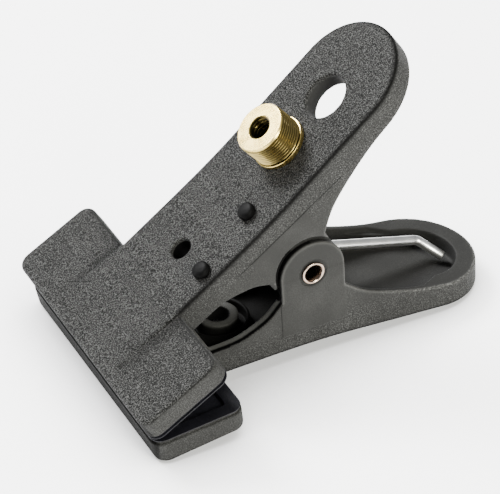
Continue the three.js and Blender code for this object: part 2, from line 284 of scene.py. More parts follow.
def add_inner_ears(body, grid):
    """The upper lever's ears lie inside its walls, whose pockets hold the lower lever's ears."""
    half = ARM_HALF - WALL
    s, x, y, h = grid.part((-EAR - 2, -ARM_HALF, BELOW_EAR), (EAR + 2, ARM_HALF, ABOVE_ARM))
    across = np.maximum(half - GAP - WALL - np.abs(y), np.abs(y) - half - SINK)
    ear = np.maximum(np.abs(x) - EAR, across)
    ear = meet(meet(ear, polygon_field(x, h, side_outline()), RIM_EDGE), h - outer_height(x) + 1)
    body[s] = join(body[s], ear, 0.3)
    tongue = np.maximum(np.abs(x - TONGUE["x"]) - TONGUE["half"], np.abs(h - 9) - 9 + TONGUE["low"])
    tongue = np.maximum(tongue, np.maximum(half - np.abs(y), np.abs(y) - ARM_HALF))
    body[s] = join(body[s], tongue, 0.2)
    s, x, y, h = grid.part((-EAR - 4, -ARM_HALF - 2, -EAR - 4), (EAR + 4, ARM_HALF + 2, ABOVE_ARM))
    arch = np.where(h > EAR_POCKET_RISE, np.hypot(x, h - EAR_POCKET_RISE), np.abs(x)) - EAR - GAP
    body[s] = cut(body[s], meet(arch, half - GAP - np.abs(y)), 0.2)


def cut_counterbores(body, grid):
    """Seats for the rivet's heads in the lower lever's outer ears."""
    s, x, y, h = grid.part((-6, -ARM_HALF - 2, -6), (6, ARM_HALF + 2, 6))
    seat = ARM_HALF - COUNTERBORE["depth"]
    bore = meet(np.hypot(x, h) - COUNTERBORE["radius"], seat - np.abs(y))
    body[s] = cut(body[s], bore, 0.2)


def add_front_rib(body, grid):
    """The walls are thicker just under their front rim, up to the ear."""
    s, x, y, h = grid.part((ARM_START, -ARM_HALF, 5), (-EAR, ARM_HALF, 20))
    half = ARM_HALF - WALL
    rim = polygon_field(x, h, side_outline())
    rib = np.maximum(np.abs(y) - half - SINK, half - FRONT_RIB["thick"] - np.abs(y))
    rib = meet(meet(rib, rim, RIM_EDGE), -rim - FRONT_RIB["high"], 0.3)
    body[s] = join(body[s], np.maximum(rib, EAR + 3 * GAP - np.hypot(x, h)), 0.2)


def add_head(body, grid):
    """The jaw head: a plate in its own tilted frame (u back, w out) with a recess for the pad's plug."""
    s, x, y, h = grid.part((HEAD_FRONT - 2, -HEAD_HALF - 2, 12), (HEAD_BACK + 6, HEAD_HALF + 2, 32))
    u = (x - HEAD_FRONT) * math.cos(HEAD_TILT) - (h - HEAD_TOP) * math.sin(HEAD_TILT)
    w = (h - HEAD_TOP) * math.cos(HEAD_TILT) + (x - HEAD_FRONT) * math.sin(HEAD_TILT)
    leaning = u - FRONT_DRAFT * np.clip(1 + w / HEAD_THICK, 0, 1) * np.clip(1 - u / HEAD_LENGTH, 0, 1)
    outline = rounded_box_field(leaning - HEAD_LENGTH / 2, y, HEAD_LENGTH / 2, HEAD_HALF, HEAD_CORNER)
    beside_arm = smooth_step((np.abs(y) - ARM_HALF + 0.5) / 0.7)
    shoulder = SHOULDER_DROP * beside_arm * np.clip(u / HEAD_LENGTH, 0, 1)
    plate = meet(outline, w + shoulder, HEAD_EDGE)
    plate = meet(plate, -w - HEAD_THICK, 0.2)
    rebate = np.maximum(-outline - REBATE["in"], w + HEAD_THICK - REBATE["high"])
    plate = cut(plate, rebate, 0.15)
    inset = PAD_PLUG["inset"] - GAP
    recess = rounded_box_field(u - HEAD_LENGTH / 2, y, HEAD_LENGTH / 2 - inset, HEAD_HALF - inset,
                               PAD_PLUG["corner"])
    recess = meet(recess, w + HEAD_THICK - PAD_PLUG["depth"] - GAP)
    body[s] = cut(join(body[s], plate, 1.0), recess)


def add_front_well(body, grid):
    """The small hole's boss stands in a round well. Ahead of the hole, the hollow is filled up."""
    s, x, y, h = grid.part((HEAD_BACK - 1, -ARM_HALF + 1, 14), (-12, ARM_HALF - 1, 25))
    r = np.hypot(x - SMALL_HOLE["x"], y)
    fill = np.maximum(x - SMALL_HOLE["x"], WELL["inner"] - r)
    wall = np.maximum(r - WELL["outer"], WELL["inner"] - r)
    low_wall = meet(np.minimum(fill, wall), WELL["top"] - h, 0.3)
    body[s] = join(body[s], low_wall, 0.3)


def drill(body, grid, x, radius, y=0.0, boss=0.0, depth=0.0, draft=0.0):
    """A hole square to the outer face, with a boss on the inside if it has one.

    draft is how fast the hole narrows inwards.
    """
    reach = max(boss, radius) + 4
    top = float(outer_height(x))
    s, gx, gy, gh = grid.part((x - reach, y - reach, top - 14), (x + reach, y + reach, top + 3))
    r, above = around(gx, gy, gh, x, y)
    if boss:
        ring = meet(meet(r - boss, -above - depth, 0.3), above + SINK)
        body[s] = join(body[s], ring, 0.4)
    body[s] = cut(body[s], r - radius - draft * above, 0.35)


# ------------------------------------------------------------------ meshes

def new_object(name, vertices, faces, matrix, sharp_angle=None):
    """A mesh from millimetre vertices in a local frame, whose place is the matrix."""
    mesh = bpy.data.meshes.new(name)
    points = (np.asarray(vertices, float) * MM).tolist()
    mesh.from_pydata(points, [], [tuple(face) for face in faces])
    mesh.update()
    mesh.shade_smooth()
    if sharp_angle:
        mesh.set_sharp_from_angle(angle=math.radians(sharp_angle))
    obj = bpy.data.objects.new(name, mesh)
    obj.matrix_world = matrix
    bpy.context.scene.collection.objects.link(obj)
    return obj


def settle(obj):
    """Turns the mesh into the row frame. Materials find the piece's own frame in the attribute "place"."""
    mesh = obj.data
    place = np.zeros(len(mesh.vertices) * 3, np.float32)
    mesh.vertices.foreach_get("co", place)
    mesh.attributes.new("place", "FLOAT_VECTOR", "POINT").data.foreach_set("vector", place)
    mesh.transform(obj.matrix_world)
    obj.matrix_world = Matrix.Identity(4)


def finish_piece(obj, body, nodes, slot):
    """Gives a piece its body, hides the CAD nodes that it stands for, and gives it the material named by
    slot.
    """
    settle(obj)
    if body:
        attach(obj, body)
    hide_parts(*nodes)
    obj.data.materials.append(MATERIALS[slot])


def loft(rings, caps=True):
    """Vertices and faces of a skin over rings of equal count. Caps close the first and last ring."""
    count = len(rings[0])
    vertices = np.vstack(rings)
    faces = []
    for i in range(len(rings) - 1):
        a, b = i * count, (i + 1) * count
        for j in range(count):
            k = (j + 1) % count
            faces.append((a + j, a + k, b + k, b + j))
    if caps:
        faces.append(tuple(reversed(range(count))))
        faces.append(tuple(range((len(rings) - 1) * count, len(rings) * count)))
    return vertices, faces


def rounded_corners(points, radius, steps=4, closed=False):
    """A profile or path with its corners replaced by arcs, smaller ones where a side is short."""
    points = [np.array(p, float) for p in points]
    result = []
    for i, p in enumerate(points):
        if not closed and i in (0, len(points) - 1):
            result.append(p)
            continue
        before, after = points[i - 1], points[(i + 1) % len(points)]
        a, b = before - p, after - p
        length_a, length_b = np.linalg.norm(a), np.linalg.norm(b)
        a, b = a / length_a, b / length_b
        turn = math.acos(max(-1.0, min(1.0, float(a @ b))))
        if turn > math.pi - 0.05:
            result.append(p)
            continue
        reach = min(radius / math.tan(turn / 2), 0.45 * length_a, 0.45 * length_b)
        r = reach * math.tan(turn / 2)
        middle = (a + b) / np.linalg.norm(a + b)
        centre = p + middle * r / math.sin(turn / 2)
        start, end = p + a * reach - centre, p + b * reach - centre
        sweep = math.pi - turn
        for t in np.linspace(0, 1, steps + 1):
            arc = (start * math.sin((1 - t) * sweep) + end * math.sin(t * sweep)) / math.sin(sweep)
            result.append(centre + arc)
    return result


def turned(name, profile, matrix, segments=64, radius=0.0, closed=True, sharp_angle=None):
    """A turned piece: its profile lists (radius, height). A closed profile makes a ring."""
    if radius:
        profile = rounded_corners(profile, radius, closed=closed)
    angles = np.linspace(0, 2 * math.pi, segments, endpoint=False)
    circle = np.stack([np.cos(angles), np.sin(angles)], 1)
    rings = [np.column_stack([circle * r, np.full(segments, t)]) for r, t in profile]
    if closed:
        rings.append(rings[0])
    vertices, faces = loft(rings, caps=False)
    obj = new_object(name, vertices, faces, matrix, sharp_angle)
    clean(obj)
    return obj


def clean(obj):
    """Merges doubled points, drops flat faces and turns all faces outwards."""
    mesh = bmesh.new()
    mesh.from_mesh(obj.data)
    bmesh.ops.remove_doubles(mesh, verts=mesh.verts, dist=1e-7)
    bmesh.ops.dissolve_degenerate(mesh, edges=mesh.edges, dist=1e-8)
    bmesh.ops.recalc_face_normals(mesh, faces=mesh.faces)
    mesh.to_mesh(obj.data)
    mesh.free()


def field_object(name, field, grid, matrix):
    """The surface where the field is zero, thinned where it is flat."""
    band = 3 * grid.step
    volume = openvdb.FloatGrid(band)
    volume.copyFromArray(np.clip(field, -band, band).astype(np.float32))
    points, quads = volume.convertToQuads(isovalue=0.0)
    obj = new_object(name, points * grid.step + grid.low, quads.astype(int), matrix)
    fewer = obj.modifiers.new("fewer", "DECIMATE")
    fewer.ratio = KEEP
    depsgraph = bpy.context.evaluated_depsgraph_get()
    mesh = bpy.data.meshes.new_from_object(obj.evaluated_get(depsgraph))
    obj.modifiers.clear()
    obj.data = mesh
    mesh.name = name
    return obj


def mark_surface(obj, upper):
    """Writes three attributes of a lever's points, from their place: grain, shade and front_line.

    grain is how strongly the surface is grained, shade is painted shade and painted highlights, a factor on
    the lever's colour, and front_line says that the lever has the parting line along its front end, as the
    lower one has.
    """
    mesh = obj.data
    co = np.zeros(len(mesh.vertices) * 3)
    mesh.vertices.foreach_get("co", co)
    x, y, h = (co.reshape(-1, 3) / MM).T
    top = h - outer_height(x)
    plan = arm_plan(x, y, ARM_HALF, ARM_HALF)
    rim = polygon_field(x, h, side_outline())
    on_head = x < HEAD_BACK - 0.3
    inside = (plan < -0.7) & (top < -1.5) & ~on_head
    head_top = smooth_step((h - HEAD_TOP + (x - HEAD_FRONT) * math.tan(HEAD_TILT) + 1.4) / 0.8)

    # The outer face is fully grained, the sides less so, and the hollow hardly at all.
    on_top = smooth_step((top + 1.2) / 0.9)
    patch = smooth_step(0.5 - side_patch(x, h))
    on_side = (0.1 + 0.3 * smooth_step((h - 14) / 8)) * (1 - patch) + 0.05 * patch
    grain = np.where(inside, 0.06, np.maximum(on_top, on_side))
    grain = np.where(on_head, 0.26 + 0.74 * head_top, grain)

    # The rounded outer edges are worn smooth, with less grain. Painted shade darkens them, the head's
    # edges, the creases beside the arm on the head and the head's front face.
    edge = bell(top + 0.6, 0.75) * bell(plan + 0.5, 0.75) * ~on_head
    head_edge = bell(head_top - 0.45, 0.3) * on_head
    crease_shade = bell(np.abs(y) - ARM_HALF - 1.4, 2.0) * smooth_step((x - HEAD_FRONT) / 20) * on_head * head_top
    front = smooth_step((HEAD_FRONT + 1.6 - x) / 0.8) * (h < HEAD_TOP - 1.0)
    outside = 1 - 0.95 * edge - 0.7 * head_edge - 0.42 * crease_shade
    grain = grain * (1 - 0.7 * edge - 0.5 * head_edge)

    # Painted shade darkens the hollows and blackens the small hole's bore and the front rim's outer part.
    # Painted highlights light the crests of the rims, the boss's top and the inner strip of the front rim.
    from_hole = np.hypot(x - SMALL_HOLE["x"], y)
    boss_highlight = bell(from_hole - 5, 1.8) * bell(top + SMALL_HOLE["depth"], 0.5)
    lip = bell(rim + 0.1, 0.45) * bell(plan + 0.1, 0.5) * (top < -3) * (x > -EAR)
    front_rim = bell(rim + 0.1, 0.6) * (x < -EAR)
    hollow = np.where(x > 0, 0.75, 0.2) + 1.6 * boss_highlight
    hollow = hollow + 3 * front_rim * smooth_step((-plan - 1.3) / 0.5)
    hollow = np.where(from_hole < SMALL_HOLE["radius"] + 0.3, 0.1, hollow)

    shade = np.where(inside, hollow, outside) * (1 - 0.75 * front) + 1.4 * lip
    shade = shade * (1 - 0.95 * front_rim * smooth_step((1.5 + plan) / 0.4) * (plan < -0.25))
    front_line = np.full(len(x), 0.0 if upper else 1.0)
    for name, values in (("grain", grain), ("shade", shade), ("front_line", front_line)):
        attribute = mesh.attributes.new(name, "FLOAT", "POINT")
        attribute.data.foreach_set("value", values.astype(np.float32))


# ------------------------------------------------------------------ materials

def node(tree, kind, **values):
    """A new node, with values for its inputs and its own settings."""
    made = tree.nodes.new(kind)
    for key, value in values.items():
        if key in made.inputs:
            made.inputs[key].default_value = value
        else:
            setattr(made, key, value)
    return made


def noise(tree, vector, size, detail=2.0, roughness=0.5):
    """Noise whose spots are about size millimetres across."""
    made = node(tree, "ShaderNodeTexNoise", Scale=1 / (size * MM), Detail=detail, Roughness=roughness)
    tree.links.new(vector, made.inputs["Vector"])
    return made.outputs["Fac"]


def calculate(tree, operation, a, b=None, c=None):
    """A Math node over numbers and outputs of other nodes."""
    made = node(tree, "ShaderNodeMath", operation=operation)
    for socket, value in zip(made.inputs, (a, b, c)):
        if value is None:
            continue
        if isinstance(value, (int, float)):
            socket.default_value = value
        else:
            tree.links.new(value, socket)
    return made.outputs[0]


def spread(tree, value, low, high, from_low=0.3, from_high=0.7):
    """Maps a value, by default the middle range of noise, onto low to high."""
    made = node(tree, "ShaderNodeMapRange")
    for key, number in (("From Min", from_low), ("From Max", from_high), ("To Min", low), ("To Max", high)):
        made.inputs[key].default_value = number
    tree.links.new(value, made.inputs["Value"])
    return made.outputs["Result"]


def colours(tree, value, stops):
    """A colour ramp whose stops are (value, colour)."""
    made = node(tree, "ShaderNodeValToRGB")
    ramp = made.color_ramp
    while len(ramp.elements) < len(stops):
        ramp.elements.new(0.5)
    for element, (place, colour) in zip(ramp.elements, stops):
        element.position = place
        element.color = (*colour, 1)
    tree.links.new(value, made.inputs["Fac"])
    return made.outputs["Color"]


def start_material(name, metallic=0.0, specular=0.5):
    """A new material with its tree, its shader and the coordinates of the piece's own frame."""
    material = bpy.data.materials.new(name)
    material.use_nodes = True
    tree = material.node_tree
    shader = tree.nodes["Principled BSDF"]
    shader.inputs["Metallic"].default_value = metallic
    shader.inputs["Specular IOR Level"].default_value = specular
    coordinates = node(tree, "ShaderNodeAttribute", attribute_name="place").outputs["Vector"]
    return material, tree, shader, coordinates


def finish_material(tree, shader, colour, roughness, height, depth, strength):
    """Links colour, roughness and a bump whose height of 1 is depth millimetres."""
    tree.links.new(colour, shader.inputs["Base Color"])
    tree.links.new(roughness, shader.inputs["Roughness"])
    bump = node(tree, "ShaderNodeBump", Distance=depth * MM)
    if isinstance(strength, float):
        bump.inputs["Strength"].default_value = strength
    else:
        tree.links.new(strength, bump.inputs["Strength"])
    tree.links.new(height, bump.inputs["Height"])
    tree.links.new(bump.outputs["Normal"], shader.inputs["Normal"])


def scaled(tree, colour, factor):
    """A colour times a factor."""
    made = node(tree, "ShaderNodeVectorMath", operation="SCALE")
    tree.links.new(colour, made.inputs[0])
    tree.links.new(factor, made.inputs["Scale"])
    return made.outputs[0]


def axes_mm(tree, where):
    """The three coordinates of a place in metres, in millimetres."""
    split = node(tree, "ShaderNodeSeparateXYZ")
    tree.links.new(where, split.inputs[0])
    return [calculate(tree, "MULTIPLY", axis, 1 / MM) for axis in split.outputs]


def mark_near(tree, value, centre, half, blur):
    """1 where the value is within half of the centre, falling to 0 over blur."""
    away = calculate(tree, "ABSOLUTE", calculate(tree, "SUBTRACT", value, centre))
    return spread(tree, away, 1, 0, half, half + blur)


def parting_lines(tree, where):
    """Fine dark lines on a lever's sides: over the smooth patch and along its front end."""
    x, y, h = axes_mm(tree, where)
    along = calculate(tree, "MULTIPLY_ADD", x, -PATCH["rise"], h)
    has_front_line = node(tree, "ShaderNodeAttribute", attribute_name="front_line").outputs["Fac"]
    upper_line = calculate(tree, "MULTIPLY", mark_near(tree, along, PATCH["top"], 0.09, 0.17),
                           mark_near(tree, x, 4.8, 20, 0.5))
    upper_line = calculate(tree, "MULTIPLY", upper_line, calculate(tree, "SUBTRACT", 1.0, has_front_line))
    front_line = calculate(tree, "MULTIPLY", mark_near(tree, x, -11.0, 0.04, 0.14),
                           mark_near(tree, h, 13.8, 5.8, 0.3))
    front_line = calculate(tree, "MULTIPLY", front_line, has_front_line)
    on_side = mark_near(tree, calculate(tree, "ABSOLUTE", y), ARM_HALF + 0.3, 0.8, 0.3)
    return calculate(tree, "MULTIPLY", calculate(tree, "MAXIMUM", upper_line, front_line), on_side)


def nylon_material():
    """Glass-filled nylon: spark-eroded grain on the outside, smooth inside, greyer high spots."""
    coarse_mm, fine_mm, cloud_mm, bump_mm = 0.39, 0.22, 14, 1.5
    material, tree, shader, where = start_material("nylon", specular=0.03)
    grain = node(tree, "ShaderNodeAttribute", attribute_name="grain").outputs["Fac"]
    shade = node(tree, "ShaderNodeAttribute", attribute_name="shade").outputs["Fac"]
    coarse = noise(tree, where, coarse_mm, 1.0)
    fine = noise(tree, where, fine_mm, 1.0)
    cloud = noise(tree, where, cloud_mm)
    height = calculate(tree, "ADD", calculate(tree, "MULTIPLY", coarse, 0.6),
                       calculate(tree, "MULTIPLY", fine, 0.4))
    speckle = calculate(tree, "MULTIPLY_ADD", calculate(tree, "SUBTRACT", height, 0.5), grain, 0.5)
    mottle = calculate(tree, "ADD", speckle, calculate(tree, "MULTIPLY_ADD", cloud, 0.05, -0.025))
    colour = colours(tree, mottle, [(0.4, NYLON[0]), (0.5, NYLON[1]), (0.6, NYLON[2])])
    lines = calculate(tree, "MULTIPLY_ADD", parting_lines(tree, where), -LINE_DARKNESS, 1.0)
    # The shade attribute scales the colour: painted shade and painted highlights from mark_surface.
    colour = scaled(tree, colour, calculate(tree, "MULTIPLY", shade, lines))
    roughness = spread(tree, height, 0.66, 0.5)
    strength = calculate(tree, "MULTIPLY_ADD", grain, 0.95, 0.05)
    finish_material(tree, shader, colour, roughness, height, bump_mm, strength)
    return material


def rubber_material():
    """Black moulded rubber, slightly smeared."""
    material, tree, shader, where = start_material("pad_rubber", specular=0.25)
    fine = noise(tree, where, 0.5, 3.0, 0.6)
    smear = noise(tree, where, 9, 3.0, 0.6)
    mixed = calculate(tree, "ADD", calculate(tree, "MULTIPLY", fine, 0.4),
                      calculate(tree, "MULTIPLY", smear, 0.6))
    colour = colours(tree, mixed, [(0.35, (0.002, 0.002, 0.0035)), (0.65, (0.006, 0.006, 0.01))])
    finish_material(tree, shader, colour, spread(tree, smear, 0.5, 0.62), fine, 0.08, 0.5)
    return material


def plug_material():
    """Smooth black plastic of the two pegs."""
    material, tree, shader, where = start_material("peg_plastic", specular=0.03)
    fine = noise(tree, where, 0.35)
    colour = colours(tree, noise(tree, where, 2.2), [(0.3, (0.001,) * 3), (0.7, (0.004,) * 3)])
    finish_material(tree, shader, colour, spread(tree, fine, 0.45, 0.62), fine, 0.08, 0.6)
    return material


def metal_material(name, stops, rough, grain_mm, depth, rings=None, face=None):
    """A metal. A turned piece lists (radius, lightness) in rings, which paint shade and light by radius:
    dark thread roots and bores, lighter crests, faces and collars.

    face is (radius, height): above that height, all beyond the radius is as light as at it.
    """
    material, tree, shader, where = start_material(name, metallic=1.0)
    stain = noise(tree, where, 3.5, 3.0, 0.6)
    colour = colours(tree, stain, stops)
    marks_at = where
    if rings:
        x, y, h = axes_mm(tree, where)
        squares = [calculate(tree, "MULTIPLY", axis, axis) for axis in (x, y)]
        across = calculate(tree, "SQRT", calculate(tree, "ADD", *squares))
        joined = node(tree, "ShaderNodeCombineXYZ")
        tree.links.new(calculate(tree, "MULTIPLY", across, MM), joined.inputs[0])
        tree.links.new(calculate(tree, "MULTIPLY", h, MM), joined.inputs[1])
        marks_at = joined.outputs[0]
        if face:
            below = calculate(tree, "MAXIMUM", calculate(tree, "SUBTRACT", face[1], h), 0.0)
            widest_there = calculate(tree, "MULTIPLY_ADD", below, 20.0, face[0])
            across = calculate(tree, "MINIMUM", across, widest_there)
        # Painted shade and light: the colour is scaled by a lightness that depends only on the radius.
        widest = rings[-1][0]
        ramp = [(radius / widest, (light, light, light)) for radius, light in rings]
        lightness = colours(tree, calculate(tree, "MULTIPLY", across, 1 / widest), ramp)
        colour = scaled(tree, colour, lightness)
    marks = noise(tree, marks_at, grain_mm, 3.0, 0.65)
    wear = calculate(tree, "MULTIPLY_ADD", marks, 0.5, calculate(tree, "MULTIPLY", stain, 0.5))
    finish_material(tree, shader, colour, spread(tree, wear, *rough), marks, depth, 0.6)
    return material


NYLON = ((0.008, 0.008, 0.008), (0.025, 0.025, 0.0242), (0.088, 0.088, 0.086))
LINE_DARKNESS = 0.65                    # how much of the nylon's lightness a parting line takes
PLAIN_RINGS = [(0.0, 1.0), (10.0, 1.0)]
# The rivet's rings paint shade in its bore and round the outer edge of its lip.
RIVET_SHADING_RINGS = [(0.0, 0.3), (2.7, 0.3), (2.95, 0.8), (3.4, 0.8), (3.68, 0.25), (4.0, 0.25)]
# The stud's rings paint shade in its bore and thread roots, with some grime there, keep the threaded side
# darker, and paint the end face and the collar light.
STUD_SHADING_RINGS = [(0.0, 0.005), (3.3, 0.012), (3.62, 0.16), (3.8, 0.74), (7.0, 0.74), (7.44, 0.09),
              (7.64, 0.11), (7.82, 0.3), (7.96, 0.32), (8.08, 0.7), (8.6, 0.7)]
STUD_FACE = (6.9, 10.3)
BRASS = [(0.25, (0.82, 0.595, 0.17)), (0.75, (0.91, 0.71, 0.26))]
MATERIALS = {
    "nylon": nylon_material(),
    "pad_rubber": rubber_material(),
    "peg_plastic": plug_material(),
    "spring_steel": metal_material("spring_steel", [(0.3, (0.80, 0.80, 0.79)), (0.7, (0.93, 0.93, 0.92))],
                                   rough=(0.26, 0.4), grain_mm=0.25, depth=0.01),
    "zinc_steel": metal_material("zinc_steel", [(0.3, (0.50, 0.51, 0.52)), (0.7, (0.66, 0.67, 0.69))],
                                 rough=(0.28, 0.5), grain_mm=0.3, depth=0.02, rings=PLAIN_RINGS),
    "nickel_steel": metal_material("nickel_steel", [(0.3, (0.40, 0.29, 0.22)), (0.7, (0.58, 0.46, 0.38))],
                                   rough=(0.16, 0.3), grain_mm=0.2, depth=0.01, rings=RIVET_SHADING_RINGS),
    "brass": metal_material("brass", BRASS, rough=(0.2, 0.36), grain_mm=0.16, depth=0.012,
                            rings=STUD_SHADING_RINGS, face=STUD_FACE),
}


# ------------------------------------------------------------------ levers and pads

def build_lever(name, upper):
    grid = Grid((HEAD_FRONT - 2, -HEAD_HALF - 2, -EAR - 2), (HANDLE_END + 2, HEAD_HALF + 2, 36), STEP)
    obj = field_object(name, lever_field(grid, upper), grid, lever_matrix(upper))
    mark_surface(obj, upper)
    return obj


def head_matrix(upper):
    """Frame on the head's outer face: x back from the front edge, h out of the face."""
    corner = Matrix.Translation(Vector((HEAD_FRONT, 0, HEAD_TOP)) * MM)
    return lever_matrix(upper) @ corner @ Matrix.Rotation(HEAD_TILT, 4, "Y")


def head_ring(inset, corner, height, steps=8):
    """A rounded rectangle that lies inset from the head's outline."""
    half_u, half_v = HEAD_LENGTH / 2 - inset - corner, HEAD_HALF - inset - corner
    ring = []
    for quarter, (su, sv) in enumerate(((1, 1), (-1, 1), (-1, -1), (1, -1))):
        for a in np.linspace(0, math.pi / 2, steps) + quarter * math.pi / 2:
            u = HEAD_LENGTH / 2 + su * half_u + corner * math.cos(a)
            ring.append((u, sv * half_v + corner * math.sin(a), height))
    return np.array(ring)


def build_pad(name, upper):
    """A moulded rubber facing: plug in the head, plate on its face, shallow field inside a border.

    The profile lists (inset, corner radius, height) from the plug's end to the middle of the field.
    """
    face = -HEAD_THICK - GAP / 2
    inset, corner = PAD_PLUG["inset"], PAD_PLUG["corner"]
    profile = [(inset, corner, -HEAD_THICK + PAD_PLUG["depth"]), (inset, corner, face),
               (1.0, 3.0, face), (1.0, 3.0, face - 0.25),
               (GAP / 2, 3.85, face - 0.25), (GAP / 2, 3.85, face - 0.6),
               (4.3, 1.0, face - 0.6), (4.6, 0.8, face + 0.6), (8.0, 0.5, face + 0.6)]
    rings = [head_ring(*p) for p in rounded_corners(profile, 0.16, 3)]
    obj = new_object(name, *loft(rings), head_matrix(upper), 40)
    clean(obj)
    return obj


for is_upper in (False, True):
    side = "upper" if is_upper else "lower"
    finish_piece(build_lever(f"lever_{side}", is_upper), side, [f"{side}_lever"], "nylon")
    finish_piece(build_pad(f"jaw_pad_{side}", is_upper), side, [f"{side}_jaw_pad"], "pad_rubber")


# ------------------------------------------------------------------ spring, rivet and sleeve

WIRE, COIL = 3.0, 7.0
LEG_Y, COIL_TURNS = 5.6, 3
LEG_BEND, BEND_RADIUS = (48.5, 23.2), 3.2            # x and h of each leg's bend
LEG_TIP = (53.9, 27.5, 0.8)                          # x, h and y of each leg's tip


def tube(name, path, radius, matrix, sides=20):
    """A round wire along a path, its section carried along without twist. The ends are softened."""
    path = np.array(path, float)
    tangents = np.gradient(path, axis=0)
    tangents /= np.linalg.norm(tangents, axis=1)[:, None]
    normal = np.cross(tangents[0], (0.3, 0.5, 0.81))
    angles = np.linspace(0, 2 * math.pi, sides, endpoint=False)
    places = []
    for point, tangent in zip(path, tangents):
        normal = normal - tangent * (normal @ tangent)
        normal /= np.linalg.norm(normal)
        places.append((point, tangent, normal, np.cross(tangent, normal)))

    def ring(place, r, shift=0.0):
        point, tangent, n, o = place
        return point + shift * tangent + r * (np.outer(np.cos(angles), n) + np.outer(np.sin(angles), o))

    bevel = 0.15 * radius
    skins = [ring(places[0], radius - bevel), ring(places[0], radius, bevel)]
    skins += [ring(place, radius) for place in places[1:-1]]
    skins += [ring(places[-1], radius, -bevel), ring(places[-1], radius - bevel)]
    obj = new_object(name, *loft(skins), matrix, 50)
    clean(obj)
    return obj


def leg_points(upper):
    """Tip and bend of one leg, and the angle of the coil point that it leaves from."""
    pitch, side = (UPPER_PITCH, 1) if upper else (LOWER_PITCH, -1)
    pitch = math.radians(pitch)

    def place(x, y, h):
        return np.array([x * math.cos(pitch) - side * h * math.sin(pitch), y,
                         x * math.sin(pitch) + side * h * math.cos(pitch)])

    leg_angle = math.atan2(LEG_BEND[1], LEG_BEND[0]) - math.asin(COIL / math.hypot(*LEG_BEND))
    along = pitch + side * leg_angle
    tip = place(LEG_TIP[0], side * LEG_TIP[2], LEG_TIP[1])
    bend = place(LEG_BEND[0], -side * LEG_Y, LEG_BEND[1])
    return tip, bend, along + side * math.pi / 2


def coil_point(angle, y):
    return np.array([COIL * math.cos(angle), y, COIL * math.sin(angle)])


def build_spring():
    """One wire in three pieces: a leg on each lever, and the coil between them, which rides on neither
    lever.
    """
    matrix = Matrix.Translation(PIVOT)
    lower_tip, lower_bend, start = leg_points(False)
    upper_tip, upper_bend, end = leg_points(True)
    end -= 2 * math.pi * (COIL_TURNS + 1)
    coil = [coil_point(start + t * (end - start), LEG_Y * (1 - 2 * t)) for t in np.linspace(0, 1, 161)]
    legs = []
    for name, tip, bend, root, body in (("spring_leg_lower", lower_tip, lower_bend, coil[0], "lower"),
                                        ("spring_leg_upper", upper_tip, upper_bend, coil[-1], "upper")):
        path = rounded_corners([tip, bend, root], BEND_RADIUS, 8)[:-1]
        path += [path[-1] + (root - path[-1]) * t for t in np.linspace(0, 1, 12)[1:]]
        legs.append((tube(name, path, WIRE / 2, matrix), body))
    middle = tube("spring_coil", coil, WIRE / 2, matrix)
    for leg, body in legs:
        finish_piece(leg, body, ["torsion_spring"], "spring_steel")
    finish_piece(middle, None, ["torsion_spring"], "spring_steel")
    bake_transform(middle)


build_spring()

ACROSS = Matrix.Translation(PIVOT) @ Matrix.Rotation(-math.pi / 2, 4, "X")   # h axis laid along y


def build_rivet():
    """A tubular rivet with both ends rolled over: bore, flare, rolled lip, seat and tube."""
    seat, end = ARM_HALF - COUNTERBORE["depth"] + 0.12, ARM_HALF + 0.45
    half = [(2.25, 0), (2.25, end - 1.6), (2.5, end - 0.8), (2.78, end - 0.3), (3.0, end - 0.06),
            (3.25, end), (3.5, end - 0.1), (3.7, end - 0.42), (3.55, seat + 0.03), (3.1, seat),
            (2.85, seat), (2.85, 0)]
    profile = half + [(r, -t) for r, t in reversed(half[1:-1])]
    return turned("rivet", profile, ACROSS, 64)


finish_piece(build_rivet(), "lower", ["pivot_rivet"], "nickel_steel")
SLEEVE_HALF = ARM_HALF - 2 * (WALL + GAP) + GAP / 2 - GAP
SLEEVE = [(3.2, -SLEEVE_HALF), (5.2, -SLEEVE_HALF), (5.2, SLEEVE_HALF), (3.2, SLEEVE_HALF)]
sleeve = turned("sleeve", SLEEVE, ACROSS, 48, 0.3, sharp_angle=40)
finish_piece(sleeve, "lower", ["spring_sleeve"], "zinc_steel")


# ------------------------------------------------------------------ stud, washer and nut

STUD = {"radius": 7.94, "height": 10.7, "pitch": 0.94, "depth": 0.5}
STUD_COLLAR = {"radius": 8.35, "height": 1.9}
BORE = {"radius": 3.1, "pitch": 1.27, "depth": 0.42}
SHANK = {"radius": 4.0, "length": 10.6, "pitch": 1.25, "depth": 0.5}
NUT = {"half": 6.5, "thick": 5.0, "depth": 0.35}     # half is half its width across the flats
ANGLES = np.linspace(0, 2 * math.pi, 96, endpoint=False)


def round_ring(radii, height):
    """A ring about the axis, from one radius or from one radius for each angle."""
    radii = np.broadcast_to(radii, ANGLES.shape)
    return np.column_stack([radii * np.cos(ANGLES), radii * np.sin(ANGLES), np.full(len(ANGLES), height)])


def tooth(phase):
    """A thread's section: 0 at the crest, 1 at the root, with small flats."""
    return np.clip(1.25 * (1 - np.abs(2 * (phase % 1.0) - 1)) - 0.12, 0, 1)


def thread_rings(heights, radius, pitch, depth, fade):
    """Rings of a threaded stretch, which fades out at both ends. A depth below 0 threads a hole."""
    t, a = np.meshgrid(heights, ANGLES, indexing="ij")
    ends = np.clip((t - heights[0]) / fade, 0, 1) * np.clip((heights[-1] - t) / fade, 0, 1)
    radii = radius - depth * tooth(t / pitch - a / (2 * math.pi)) * ends
    return [round_ring(row, height) for row, height in zip(radii, heights)]


